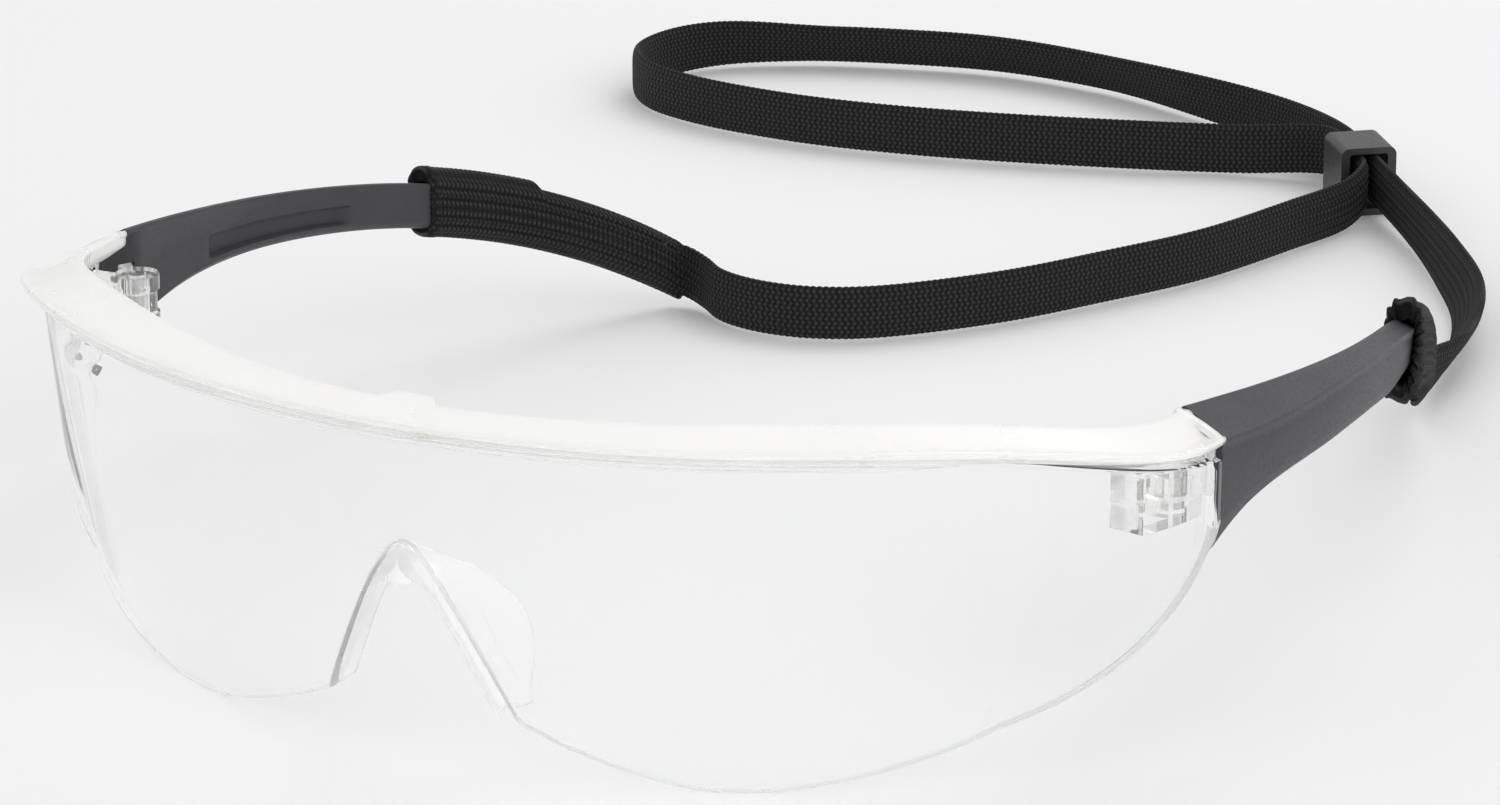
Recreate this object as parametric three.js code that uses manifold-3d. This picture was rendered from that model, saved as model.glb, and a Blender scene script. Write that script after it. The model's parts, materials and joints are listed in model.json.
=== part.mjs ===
// Wraparound safety spectacles: one clear lens under a brow guard, a soft nose bridge, two hinged temples
// and an elastic head strap whose loop is drawn up by a slider. Millimetres, +Z up, front towards -Y.
// The pair stands on the floor on its two lens lobes and its two temple ends. Left and right are -X and +X.
import * as THREE from "three";
import { mergeVertices } from "three/addons/utils/BufferGeometryUtils.js";
import Module from "manifold-3d";

const wasm = await Module();
wasm.setup();

// Driving dimensions
const frontHalfWidth = 73; // middle of the brow to its outer end
const wrapDepth = 55.5; // front of the brow to its rear ends
const browHeight = 41.9; // floor to the brow's front crease
const browDroop = 7; // how far the crease sinks at the ends
const ledgeDepth = 6.7; // brow guard, front to back, at the middle
const ledgeEndDepth = 5.6; // and at its ends
const ledgeSwell = 2.6; // extra ledge depth half way round
const ledgeThickness = 1.6;
const ledgeRise = 0.2; // the ledge's rear edge over its crease at the middle
const ledgeEndRise = 1.2; // and at its ends
const bandHeight = 2.8; // the band that hangs in front of the lens
const bandEndHeight = 1.75; // and its height near the ends, where the lens comes out flush
const bandFadeStart = 44; // degrees round the wrap where the band begins to narrow
const bandFadeEnd = 60;
const bandSetback = 1.8; // how far the band's lower edge lies behind the crease
const bandDepth = 2.4; // crease to the back of the band
const tabWidth = 7; // moulded tab at the middle of the ledge's rear edge
const tabDepth = 2.4;
const lensThickness = 2.0;
const lensRake = 0.118; // inward lean of the lens for each millimetre down
const lensBow = 0.0013; // extra inward lean, by the square of the drop
const lensFlush = 2.1; // how soon the lens comes out to the brow's outline at its ends
const lobeAngle = 32; // degrees round the wrap to each lobe's lowest point
const lobeSpread = 57.5; // degrees from there to the lobe's outer end
const lobeSpreadInner = 40; // and to where its outline would close towards the nose
const lobeDrop = 30; // height of the lobe's rounded outline
const lobePower = 1.5; // 2 is an ellipse, less is more pointed
const lobeFlat = 0.25; // how much is taken off the lobes for their flat feet
const notchHeight = 26.4; // floor to the top of the nose notch
const notchRadius = 6;
const notchSlope = 2.1; // rise over run of the notch's straight sides
const saddleTop = 5.2; // nose bridge, thickness at the top
const saddleTip = 2.4; // and at its two ends
const saddleAngle = 10.8; // degrees round the wrap to the end of a nose pad
const saddleDepth = 4.6; // front to back at the top
const padDepth = 9; // and at the pads
const padFlare = 0.35; // how far a pad spreads for each millimetre behind the lens
const pinRadius = 0.9;
const pinSetIn = 7.8; // hinge pin, inwards from the end of the brow
const pinSetForward = 1.2; // hinge pin, forwards of the end of the brow
const blockDrop = 2.1; // end of the brow down to the top of the hinge block
const blockHeight = 6.4;
const blockThickness = 4.2;
const blockStart = 78; // degrees round the wrap, and where the block ends
const blockEnd = 87.5;
const knuckleRadius = 2.6;
const tongueHeight = 2.2; // the tongue's barrel, between the block's two arms
const plateHeight = 4.4; // the tongue's plate, which stands in the temple's slot
const plateThickness = 1.5;
const templeLength = 107;
const templeThickness = 4.4;
const templeTipThickness = 2.8;
const templeRootHeight = 15.0;
const templeArmHeight = 6.3;
const templeSetIn = 2.4; // temple's middle plane at the root, inwards from the end of the brow
const templeSpread = 11.8; // the temples first lean outwards
const templeHook = 30.9; // and then curve in behind the head
const templeRootRise = 1.8; // top of the root over the end of the brow
const templeDroop = 14.5; // fall of the top edge, in a straight line
const templeEndDroop = 15.2; // and further towards the end
const templeEnd = 0.96; // share of the length where the moulding ends, inside the sleeve
const rootFade = 0.13; // share of the length over which the root narrows
const rootLean = 1.2; // the root's lower corner comes forward with the lens
const panelDepth = 0.7; // recess in the temple's inner face
const panelStart = 0.2; // and where it lies, as shares of the length and of the height
const panelEnd = 0.47;
const panelLow = 0.2;
const panelHigh = 0.56;
const tongueDepth = 4.2; // how far the tongue reaches into the temple
const sleeveWall = 1.0;
const sleeveStart = 0.6; // as a share of the temple's length
const sleeveEndWall = 0.036; // its closed end, as a share of the length
const strapWidth = 7.2;
const strapThickness = 1.5;
const strandSpacing = 2.4; // the two strands side by side in the slider
const loopTilt = 30; // degrees that the back of the loop leans over
const rightTilt = 28; // and the right strand
const sliderWidth = 7.8;
const sliderHeight = 9.6;
const sliderLength = 8.4;
const sliderWall = 0.9;
const sliderSideWall = 1.2;
const sliderCorner = 1.1;

// Clearances
const gap = 0.3; // between pieces that seat on each other
const boreGap = 0.15; // round the hinge pin
const degree = Math.PI / 180;

// Materials
const clear = new THREE.MeshStandardMaterial({ color: 0xf2f4f4, roughness: 0.06, metalness: 0 });
clear.transparent = true;
clear.opacity = 0.3;
const soft = new THREE.MeshStandardMaterial({ color: 0xf6f7f7, roughness: 0.12, metalness: 0 });
soft.transparent = true;
soft.opacity = 0.45;
const steel = new THREE.MeshStandardMaterial({ color: 0xb9bbbd, roughness: 0.3, metalness: 1 });
const charcoal = new THREE.MeshStandardMaterial({ color: 0x4a484b, roughness: 0.5, metalness: 0 });
const braid = new THREE.MeshStandardMaterial({ color: 0x232325, roughness: 0.95, metalness: 0 });
const sliderBlack = new THREE.MeshStandardMaterial({ color: 0x454447, roughness: 0.42, metalness: 0 });

// Geometry helpers

// Merges a geometry's shared corners, so that it is one closed surface.
function welded(geometry) {
  const bare = geometry.index ? geometry.toNonIndexed() : geometry.clone();
  bare.deleteAttribute("normal");
  bare.deleteAttribute("uv");
  return mergeVertices(bare, 1e-4);
}

function signedVolume(geometry) {
  const corners = geometry.attributes.position;
  const [a, b, c] = [new THREE.Vector3(), new THREE.Vector3(), new THREE.Vector3()];
  let sum = 0;
  for (let i = 0; i < geometry.index.count; i += 3) {
    a.fromBufferAttribute(corners, geometry.index.getX(i));
    b.fromBufferAttribute(corners, geometry.index.getX(i + 1));
    c.fromBufferAttribute(corners, geometry.index.getX(i + 2));
    sum += a.dot(b.cross(c)) / 6;
  }
  return sum;
}

// Moves every corner of a plain solid to its real place, and keeps the faces pointing out.
function reshaped(geometry, place) {
  const solid = welded(geometry);
  const corners = solid.attributes.position;
  const corner = new THREE.Vector3();
  for (let i = 0; i < corners.count; i += 1) {
    corner.fromBufferAttribute(corners, i);
    const moved = place(corner.x, corner.y, corner.z);
    corners.setXYZ(i, moved.x, moved.y, moved.z);
  }
  if (signedVolume(solid) < 0) {
    solid.index.array.reverse();
  }
  return solid;
}

function toSolid(geometry) {
  const closed = welded(geometry);
  return new wasm.Manifold(new wasm.Mesh({
    numProp: 3,
    vertProperties: new Float32Array(closed.attributes.position.array),
    triVerts: new Uint32Array(closed.index.array),
  }));
}

function toGeometry(solid) {
  const mesh = solid.getMesh();
  const geometry = new THREE.BufferGeometry();
  geometry.setAttribute("position", new THREE.BufferAttribute(mesh.vertProperties, 3));
  geometry.setIndex(new THREE.BufferAttribute(mesh.triVerts, 1));
  return geometry;
}

// A bar of the given section outline and a number of equal steps, from 0 to 1 along Z.
function bar(outline, steps) {
  const section = new THREE.Shape(outline.map(([x, y]) => new THREE.Vector2(x, y)));
  return new THREE.ExtrudeGeometry(section, { depth: 1, steps, bevelEnabled: false });
}

// A square section from 0 to 1 with its four corners cut off by the given shares of its sides.
function cutSquare(cutX, cutY) {
  return [
    [cutX, 0], [1 - cutX, 0], [1, cutY], [1, 1 - cutY],
    [1 - cutX, 1], [cutX, 1], [0, 1 - cutY], [0, cutY],
  ];
}

function upright(radius, bottom, top, x, y, sides = 24) {
  const cylinder = new THREE.CylinderGeometry(radius, radius, top - bottom, sides);
  return cylinder.rotateX(Math.PI / 2).translate(x, y, (top + bottom) / 2);
}

function mirrored(geometry, side) {
  return reshaped(geometry, (x, y, z) => new THREE.Vector3(side * x, y, z));
}

// The wrap: every clear piece follows the same half ellipse.

const browLine = (angle) => browHeight - browDroop * Math.sin(angle) ** 6;

// A place on the wrap: angle from the middle, distance inside the crease line, and height.
function onWrap(angle, inset, height) {
  return new THREE.Vector3(
    (frontHalfWidth - inset) * Math.sin(angle),
    wrapDepth - (wrapDepth - inset) * Math.cos(angle),
    height,
  );
}

function ledgeReach(angle) {
  const share = Math.sin(angle) ** 4;
  return THREE.MathUtils.lerp(ledgeDepth, ledgeEndDepth, share) + ledgeSwell * Math.sin(2 * angle) ** 2;
}

function browGuard() {
  const farEdge = ledgeDepth;
  const section = [
    [0, 0], [bandSetback, -bandHeight], [bandDepth, -bandHeight], [bandDepth, -ledgeThickness],
    [farEdge, -ledgeThickness], [farEdge, 0],
  ];
  const fadeSpan = [bandFadeStart * degree, bandFadeEnd * degree];
  const ledge = reshaped(bar(section, 60), (x, y, z) => {
    const angle = (z - 0.5) * Math.PI;
    const share = Math.max(0, (x - bandDepth) / (farEdge - bandDepth));
    const inset = x + share * (ledgeReach(angle) - farEdge);
    const fade = THREE.MathUtils.smoothstep(Math.abs(angle), ...fadeSpan);
    const drop = y < -ledgeThickness ? THREE.MathUtils.lerp(y, -bandEndHeight, fade) : y;
    const rise = THREE.MathUtils.lerp(ledgeRise, ledgeEndRise, Math.sin(angle) ** 4);
    return onWrap(angle, inset, browLine(angle) + drop + share * rise);
  });
  const overlap = 1;
  const tab = new THREE.BoxGeometry(tabWidth, tabDepth + overlap, ledgeThickness);
  const tabHeight = browLine(0) + ledgeRise - ledgeThickness / 2;
  tab.translate(0, ledgeDepth + (tabDepth - overlap) / 2, tabHeight);
  return toGeometry(toSolid(ledge).add(toSolid(tab)));
}

// The lens hangs behind the band. Its inset grows as it goes down.
const lensTop = (angle) => browLine(angle) - bandEndHeight - gap;
const lensFront = bandDepth + gap;
const lensEndGap = 1.5; // degrees short of the brow's end
const lensEnd = (90 - lensEndGap) * degree;

function lensInset(angle, height) {
  const drop = lensTop(angle) - height;
  const flush = Math.min(1, lensFlush * Math.cos(angle));
  return flush * (lensFront + lensRake * drop + lensBow * drop * drop);
}

function onLens(angle, height, depth) {
  return onWrap(angle, lensInset(angle, height) + depth, height);
}

// Height of the nose notch's edge, and its rise over run there.
function notchEdge(angle) {
  const x = (frontHalfWidth - lensInset(angle, notchHeight / 2)) * Math.sin(angle);
  const root = Math.hypot(notchRadius, notchSlope * x);
  return { height: notchHeight + notchRadius - root, slope: (-notchSlope * notchSlope * x) / root };
}

function lensBottom(angle) {
  const past = Math.abs(angle) / degree - lobeAngle;
  const turn = past / (past > 0 ? lobeSpread : lobeSpreadInner);
  const round = 1 - Math.sqrt(1 - Math.min(1, Math.abs(turn) ** lobePower));
  const lobe = Math.max(0, lobeDrop * round - lobeFlat);
  return Math.max(lobe, notchEdge(angle).height);
}

function lens() {
  const block = new THREE.BoxGeometry(1, 1, 1, 92, 8, 1);
  const middleShare = 0.6; // columns are closer together round the nose
  return reshaped(block, (x, y, z) => {
    const across = 2 * x;
    const angle = lensEnd * (middleShare * across + (1 - middleShare) * across ** 3);
    const bottom = lensBottom(angle);
    const height = THREE.MathUtils.lerp(bottom, lensTop(angle), y + 0.5);
    return onLens(angle, height, (z + 0.5) * lensThickness);
  });
}

// The soft saddle lines the nose notch and spreads into two pads behind the lens.
function noseBridge() {
  const block = new THREE.BoxGeometry(1, 1, 1, 28, 2, 5);
  const standOut = 0.8; // in front of the lens
  const lensZone = standOut + lensThickness + gap; // the pads only spread behind the lens
  const padSwing = 2.4; // radians: the depth swells from the middle to past the pads' widest place
  return reshaped(block, (u, v, w) => {
    const along = 2 * u;
    const angle = along * saddleAngle * degree;
    const { height, slope } = notchEdge(angle);
    const edge = onLens(angle, height, lensThickness);
    const steepness = Math.hypot(1, slope);
    const thickness = THREE.MathUtils.lerp(saddleTop, saddleTip, Math.abs(along));
    const inward = gap + (0.5 - v) * thickness;
    const bulge = Math.sin(Math.abs(along) * padSwing) ** 2;
    const depth = (w + 0.5) * (saddleDepth + (padDepth - saddleDepth) * bulge);
    const spread = padFlare * Math.max(0, depth - lensZone) * Math.abs(along);
    const x = edge.x + (inward * slope) / steepness + Math.sign(along) * spread;
    const front = edge.y - lensThickness - standOut;
    return new THREE.Vector3(x, front + depth, edge.z - inward / steepness);
  });
}

// Hinges. Each piece is worked out on the right and mirrored for the left.

const pinX = frontHalfWidth - pinSetIn;
const pinY = wrapDepth - pinSetForward;
const blockTop = browLine(Math.PI / 2) - blockDrop;
const blockBottom = blockTop - blockHeight;
const hingeMiddle = (blockTop + blockBottom) / 2;
const boreRadius = pinRadius + boreGap;

function hingeBlock(side) {
  const arms = new THREE.BoxGeometry(1, 1, 1, 8, 1, 1);
  const frontAngle = blockStart * degree;
  const rearAngle = blockEnd * degree;
  const body = reshaped(arms, (x, y, z) => {
    const angle = THREE.MathUtils.lerp(frontAngle, rearAngle, x + 0.5);
    const height = THREE.MathUtils.lerp(blockBottom, blockTop, y + 0.5);
    const depth = lensThickness + gap + (z + 0.5) * blockThickness;
    return onWrap(angle, lensInset(angle, blockBottom) + depth, height);
  });
  const slotHeight = tongueHeight + 2 * gap;
  const slotRadius = knuckleRadius + 2 * gap;
  const slot = upright(slotRadius, hingeMiddle - slotHeight / 2, hingeMiddle + slotHeight / 2, pinX, pinY);
  const solid = toSolid(body)
    .add(toSolid(upright(knuckleRadius, blockBottom, blockTop, pinX, pinY)))
    .subtract(toSolid(slot))
    .subtract(toSolid(upright(boreRadius, blockBottom - 1, blockTop + 1, pinX, pinY, 16)));
  return mirrored(toGeometry(solid), side);
}

function hingePin(side) {
  const recess = 0.4;
  return mirrored(upright(pinRadius, blockBottom + recess, blockTop - recess, pinX, pinY, 16), side);
}

// The tongue turns on the pin and runs out along this line into the temple's slot.
const tongueEndX = frontHalfWidth - templeSetIn;
const tongueEndY = wrapDepth + tongueDepth;
const tongueReach = Math.hypot(tongueEndX - pinX, tongueEndY - pinY);
const tongueTurn = Math.atan2(tongueEndY - pinY, tongueEndX - pinX);

function tonguePlate(start, reach, height, thickness) {
  const plate = new THREE.BoxGeometry(reach - start, thickness, height);
  plate.translate((reach + start) / 2, 0, hingeMiddle);
  return plate.rotateZ(tongueTurn).translate(pinX, pinY, 0);
}

function tongue(side) {
  const halfHeight = tongueHeight / 2;
  const barrel = upright(knuckleRadius - gap, hingeMiddle - halfHeight, hingeMiddle + halfHeight, pinX, pinY);
  const plateStart = knuckleRadius + 2 * gap;
  const solid = toSolid(barrel)
    .add(toSolid(tonguePlate(0, plateStart + 1, tongueHeight, plateThickness)))
    .add(toSolid(tonguePlate(plateStart, tongueReach, plateHeight, plateThickness)))
    .subtract(toSolid(upright(boreRadius, blockBottom, blockTop, pinX, pinY, 16)));
  return mirrored(toGeometry(solid), side);
}

// Temples. A place on one is a share of its length, a share of its height and a distance across.

const templeRootTop = browLine(Math.PI / 2) + templeRootRise;
const templeX = (share) => frontHalfWidth - templeSetIn + templeSpread * share - templeHook * share ** 2;
const templeTopLine = (share) => templeRootTop - templeDroop * share - templeEndDroop * share ** 4;

function templeDepth(share) {
  return templeArmHeight + (templeRootHeight - templeArmHeight) * Math.exp(-share / rootFade);
}

function onTemple(share, rise, across, grow = 0) {
  const top = templeTopLine(share) + grow;
  const bottom = templeTopLine(share) - templeDepth(share) - grow;
  const height = THREE.MathUtils.lerp(bottom, top, rise);
  const lean = rootLean * (1 - rise) * Math.exp(-share / rootFade);
  const y = wrapDepth + gap + templeLength * share - lean;
  return new THREE.Vector3(templeX(share) + across, y, height);
}

function templeWall(share) {
  return THREE.MathUtils.lerp(templeThickness, templeTipThickness, Math.min(1, 2 * share));
}

// A stretch of the temple's shape, grown all round by the given amount.
function templeStretch(from, to, grow, steps) {
  return reshaped(bar(cutSquare(0.3, 0.16), steps), (x, y, z) => {
    const share = THREE.MathUtils.lerp(from, to, z);
    return onTemple(share, y, (x - 0.5) * (templeWall(share) + 2 * grow), grow);
  });
}

function temple(side) {
  const panel = reshaped(new THREE.BoxGeometry(1, 1, 1, 10, 1, 1), (x, y, z) => {
    const share = THREE.MathUtils.lerp(panelStart, panelEnd, x + 0.5);
    const rise = THREE.MathUtils.lerp(panelLow, panelHigh, y + 0.5);
    const innerFace = -templeWall(share) / 2;
    return onTemple(share, rise, innerFace + 2 * z * panelDepth);
  });
  const slot = tonguePlate(0, tongueReach + gap, plateHeight + 2 * gap, plateThickness + 2 * gap);
  const solid = toSolid(templeStretch(0, templeEnd, 0, 24))
    .subtract(toSolid(panel))
    .subtract(toSolid(slot));
  return mirrored(toGeometry(solid), side);
}

// The strap's hemmed end is drawn over the temple's end like a sock.
function strapSleeve(side) {
  const outer = templeStretch(sleeveStart, 1, gap + sleeveWall, 14);
  const inner = templeStretch(sleeveStart - 0.1, 1 - sleeveEndWall, gap, 12);
  const floor = new THREE.BoxGeometry(4 * frontHalfWidth, 4 * templeLength, 10);
  floor.translate(0, 2 * templeLength, -5);
  const solid = toSolid(outer).subtract(toSolid(inner)).subtract(toSolid(floor));
  return mirrored(toGeometry(solid), side);
}

// Slider and strap. The strap stands on its edge on the floor.

const sliderMiddle = new THREE.Vector3(9.5, 244.2, 0);
const sliderTurn = 129.7 * degree; // direction of the passage, from the temples to the loop
const sliderAlong = new THREE.Vector3(Math.cos(sliderTurn), Math.sin(sliderTurn), 0);
const sliderAcross = new THREE.Vector3(Math.sin(sliderTurn), -Math.cos(sliderTurn), 0);
const strapInSlider = sliderHeight / 2;
const strapOnFloor = strapWidth / 2 + gap;

function strapSlider() {
  const outline = (width, height, radius) => {
    const [w, h] = [width / 2 - radius, height / 2 - radius];
    const path = new THREE.Shape();
    path.absarc(w, h, radius, 0, Math.PI / 2);
    path.absarc(-w, h, radius, Math.PI / 2, Math.PI);
    path.absarc(-w, -h, radius, Math.PI, 1.5 * Math.PI);
    path.absarc(w, -h, radius, 1.5 * Math.PI, 2 * Math.PI);
    return path.getPoints(4);
  };
  const section = new THREE.Shape(outline(sliderWidth, sliderHeight, sliderCorner));
  const openWidth = sliderWidth - 2 * sliderSideWall;
  const openHeight = sliderHeight - 2 * sliderWall;
  section.holes.push(new THREE.Path(outline(openWidth, openHeight, sliderCorner / 3)));
  const body = new THREE.ExtrudeGeometry(section, { depth: sliderLength, steps: 1, bevelEnabled: false });
  body.translate(0, 0, -sliderLength / 2);
  return reshaped(body, (x, y, z) => {
    const place = sliderMiddle.clone().addScaledVector(sliderAcross, x).addScaledVector(sliderAlong, z);
    return place.setZ(sliderHeight / 2 + y);
  });
}

// A place on a strand where it runs straight through the slider.
function inSlider(strand, along) {
  const place = sliderMiddle.clone().addScaledVector(sliderAcross, (strand * strandSpacing) / 2);
  return place.addScaledVector(sliderAlong, along).setZ(strapInSlider);
}

function onFloor(x, y) {
  return new THREE.Vector3(x, y, strapOnFloor);
}

// A flat strap along a chosen route, standing on edge; lean tips its top outwards, in degrees, along the way.
function strap(route, steps, lean = () => 0) {
  const path = new THREE.CatmullRomCurve3(route, false, "centripetal");
  return reshaped(bar(cutSquare(0.3, 0.07), steps), (x, y, z) => {
    const middle = path.getPointAt(z);
    const forward = path.getTangentAt(z);
    const sideways = new THREE.Vector3(forward.y, -forward.x, 0).normalize();
    const tip = lean(z) * degree;
    const upward = new THREE.Vector3(0, 0, Math.cos(tip)).addScaledVector(sideways, Math.sin(tip));
    const outward = sideways.multiplyScalar(Math.cos(tip)).setZ(-Math.sin(tip));
    middle.addScaledVector(upward, (y - 0.5) * strapWidth);
    return middle.addScaledVector(outward, (x - 0.5) * strapThickness);
  });
}

// The strap leaves the sleeve straight backwards.
function fromSleeve(side) {
  const tip = onTemple(1, 0.5, 0);
  const start = new THREE.Vector3(side * tip.x, tip.y + gap, strapOnFloor);
  return [start, start.clone().add(new THREE.Vector3(0, 1.6, 0))];
}

const joint = gap / 2; // half the gap where two lengths of strap meet inside the slider

function leftRoute() {
  return [
    ...fromSleeve(-1), onFloor(-49.4, 166), onFloor(-46, 163.6), onFloor(-39.5, 158.8), onFloor(-31.5, 157.6),
    onFloor(-24, 160.4), onFloor(-11.1, 174), onFloor(-3.2, 187.7), onFloor(4.4, 202.8), onFloor(9.6, 220.5),
    onFloor(12.4, 233), inSlider(-1, -sliderLength / 2 - 1.5), inSlider(-1, -joint),
  ];
}

function rightRoute() {
  return [
    ...fromSleeve(1), onFloor(50.2, 171), onFloor(48.6, 180), onFloor(46, 191), onFloor(41.5, 202),
    onFloor(34.6, 214.5), onFloor(25.2, 227.6), inSlider(1, -sliderLength / 2 - 1.5), inSlider(1, -joint),
  ];
}

const straightRun = sliderLength / 2 + 7; // the strands stay side by side past the slider

function loopRoute() {
  return [
    inSlider(-1, joint), inSlider(-1, straightRun), onFloor(-11, 249.8), onFloor(-23.5, 245.2),
    onFloor(-43.6, 239), onFloor(-57.7, 235.8), onFloor(-73, 234.2), onFloor(-89.8, 235.8),
    onFloor(-99.6, 239.8), onFloor(-104.8, 246.4), onFloor(-104.8, 255.5), onFloor(-100.6, 263),
    onFloor(-90.4, 269.4), onFloor(-76.7, 274.6), onFloor(-62, 277.8), onFloor(-45, 276.6),
    onFloor(-28, 271.4), onFloor(-9, 264), inSlider(1, straightRun), inSlider(1, joint),
  ];
}

function loopLean(share) {
  const rise = THREE.MathUtils.smoothstep(share, 0.5, 0.6);
  const fall = THREE.MathUtils.smoothstep(share, 0.75, 0.9);
  return loopTilt * rise * (1 - fall);
}

const rightLean = (share) => rightTilt * Math.sin(Math.PI * Math.min(1, 1.15 * share)) ** 2;

// Assembly

const model = new THREE.Group();
const overallDepth = onTemple(1, 0.5, 0).y;
model.position.y = -overallDepth / 2;

function add(name, geometry, material) {
  const mesh = new THREE.Mesh(geometry, material);
  mesh.name = name;
  model.add(mesh);
}

add("lens", lens(), clear);
add("brow_guard", browGuard(), clear);
add("nose_bridge", noseBridge(), soft);
for (const [name, side] of [["left", -1], ["right", 1]]) {
  add(`hinge_block_${name}`, hingeBlock(side), clear);
  add(`hinge_pin_${name}`, hingePin(side), steel);
  add(`hinge_tongue_${name}`, tongue(side), clear);
  add(`temple_${name}`, temple(side), charcoal);
  add(`strap_sleeve_${name}`, strapSleeve(side), braid);
}
add("strap_left", strap(leftRoute(), 30), braid);
add("strap_right", strap(rightRoute(), 22, rightLean), braid);
add("strap_loop", strap(loopRoute(), 44, loopLean), braid);
add("strap_slider", strapSlider(), sliderBlack);

const spectacles = new THREE.Group();
spectacles.add(model);

export default spectacles;
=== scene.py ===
import json
import math

import bmesh
import bpy
import numpy as np
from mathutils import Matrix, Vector


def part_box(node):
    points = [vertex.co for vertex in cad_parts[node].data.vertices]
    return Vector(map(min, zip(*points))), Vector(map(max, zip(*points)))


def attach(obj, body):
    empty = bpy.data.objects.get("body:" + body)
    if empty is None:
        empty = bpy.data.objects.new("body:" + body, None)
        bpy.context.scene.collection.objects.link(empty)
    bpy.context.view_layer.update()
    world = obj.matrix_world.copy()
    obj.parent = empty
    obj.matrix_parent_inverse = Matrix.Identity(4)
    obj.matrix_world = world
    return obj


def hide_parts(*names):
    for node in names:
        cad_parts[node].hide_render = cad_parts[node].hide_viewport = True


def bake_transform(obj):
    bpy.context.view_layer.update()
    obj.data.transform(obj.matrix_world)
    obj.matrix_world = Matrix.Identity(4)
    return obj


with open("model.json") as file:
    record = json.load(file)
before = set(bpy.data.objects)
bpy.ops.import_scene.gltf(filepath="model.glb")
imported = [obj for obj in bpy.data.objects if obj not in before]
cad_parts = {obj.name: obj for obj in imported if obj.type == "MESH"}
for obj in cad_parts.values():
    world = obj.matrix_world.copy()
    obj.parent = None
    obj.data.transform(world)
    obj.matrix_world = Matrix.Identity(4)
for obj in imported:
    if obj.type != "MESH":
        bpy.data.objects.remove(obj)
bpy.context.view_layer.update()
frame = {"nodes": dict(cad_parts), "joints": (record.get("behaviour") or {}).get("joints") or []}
mm = 0.001
print("frame loaded")


def lerp(a, b, share):
    return a + (b - a) * share


# From 0 at low to 1 at high, level at both ends.
def smooth(low, high, value):
    share = min(1.0, max(0.0, (value - low) / (high - low)))
    return share * share * (3 - 2 * share)


# Comes up from 0 to 1 over one span, and goes down again over another.
def between(up, down, value):
    return smooth(*up, value) * (1 - smooth(*down, value))


# A power that keeps its sign, which squares off a circle's sine and cosine.
def signedPower(value, power):
    return math.copysign(abs(value) ** power, value)


def newPiece(name, corners, faces, uvs=None, shade=True):
    mesh = bpy.data.meshes.new(name)
    mesh.from_pydata([tuple(c) for c in corners], [], faces)
    if uvs is not None:
        layer = mesh.uv_layers.new(name="strapUv")
        for loop in mesh.loops:
            layer.data[loop.index].uv = uvs[loop.vertex_index]
    mesh.validate()
    work = bmesh.new()
    work.from_mesh(mesh)
    bmesh.ops.recalc_face_normals(work, faces=work.faces)
    work.to_mesh(mesh)
    work.free()
    if shade:
        mesh.shade_smooth()
    piece = bpy.data.objects.new(name, mesh)
    bpy.context.scene.collection.objects.link(piece)
    return piece


# Joins rings of equal length into one closed skin, with a cap at each end.
def skin(name, rings, uvRings=None):
    count = len(rings[0])
    corners = [c for ring in rings for c in ring]
    faces = []
    for i in range(len(rings) - 1):
        for j in range(count):
            k = (j + 1) % count
            faces.append((i * count + j, i * count + k, (i + 1) * count + k, (i + 1) * count + j))
    last = (len(rings) - 1) * count
    faces.append(tuple(range(count - 1, -1, -1)))
    faces.append(tuple(range(last, last + count)))
    uvs = [c for ring in uvRings for c in ring] if uvRings else None
    return newPiece(name, corners, faces, uvs)


# A closed outline with each corner turned into a small curve.
def roundCorners(outline, radius, steps=3):
    points = [np.array(p, float) for p in outline]
    rounded = []
    for before, at, after in zip(points[-1:] + points[:-1], points, points[1:] + points[:1]):
        back, on = before - at, after - at
        start = at + back * min(0.45, radius / np.linalg.norm(back))
        end = at + on * min(0.45, radius / np.linalg.norm(on))
        for k in range(steps + 1):
            t = k / steps
            rounded.append(lerp(lerp(start, at, t), lerp(at, end, t), t))
    return rounded


# A smooth line through the points, as points an equal step apart, with its direction and length at each.
def smoothLine(points, step):
    points = [np.array(p, float) for p in points]
    points = [2 * points[0] - points[1], *points, 2 * points[-1] - points[-2]]
    dense = []
    for p0, p1, p2, p3 in zip(points, points[1:], points[2:], points[3:]):
        t1 = np.linalg.norm(p1 - p0) ** 0.5
        t2 = t1 + np.linalg.norm(p2 - p1) ** 0.5
        t3 = t2 + np.linalg.norm(p3 - p2) ** 0.5
        for t in np.linspace(t1, t2, 24, endpoint=False):
            a1 = lerp(p0, p1, t / t1)
            a2 = lerp(p1, p2, (t - t1) / (t2 - t1))
            a3 = lerp(p2, p3, (t - t2) / (t3 - t2))
            b1 = lerp(a1, a2, t / t2)
            b2 = lerp(a2, a3, (t - t1) / (t3 - t1))
            dense.append(lerp(b1, b2, (t - t1) / (t2 - t1)))
    dense = np.array([*dense, points[-2]])
    run = np.concatenate([[0], np.cumsum(np.linalg.norm(np.diff(dense, axis=0), axis=1))])
    count = max(8, int(run[-1] / step))
    places = np.linspace(0, run[-1], count + 1)
    line = np.stack([np.interp(places, run, dense[:, k]) for k in range(3)], axis=1)
    ways = np.gradient(line, axis=0)
    ways /= np.linalg.norm(ways, axis=1)[:, None]
    return line, ways, places


# Writes down how strongly each ring of a skin is ribbed, for the braid's material, which bumps the rib
# valleys and darkens them with painted shade.
def markRibs(piece, strengths, count):
    layer = piece.data.attributes.new("ribbed", "FLOAT", "POINT")
    layer.data.foreach_set("value", np.repeat(np.array(strengths, np.float32), count))


def evenNormals(piece):
    even = piece.modifiers.new("evenNormals", "WEIGHTED_NORMAL")
    even.keep_sharp = True


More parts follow.
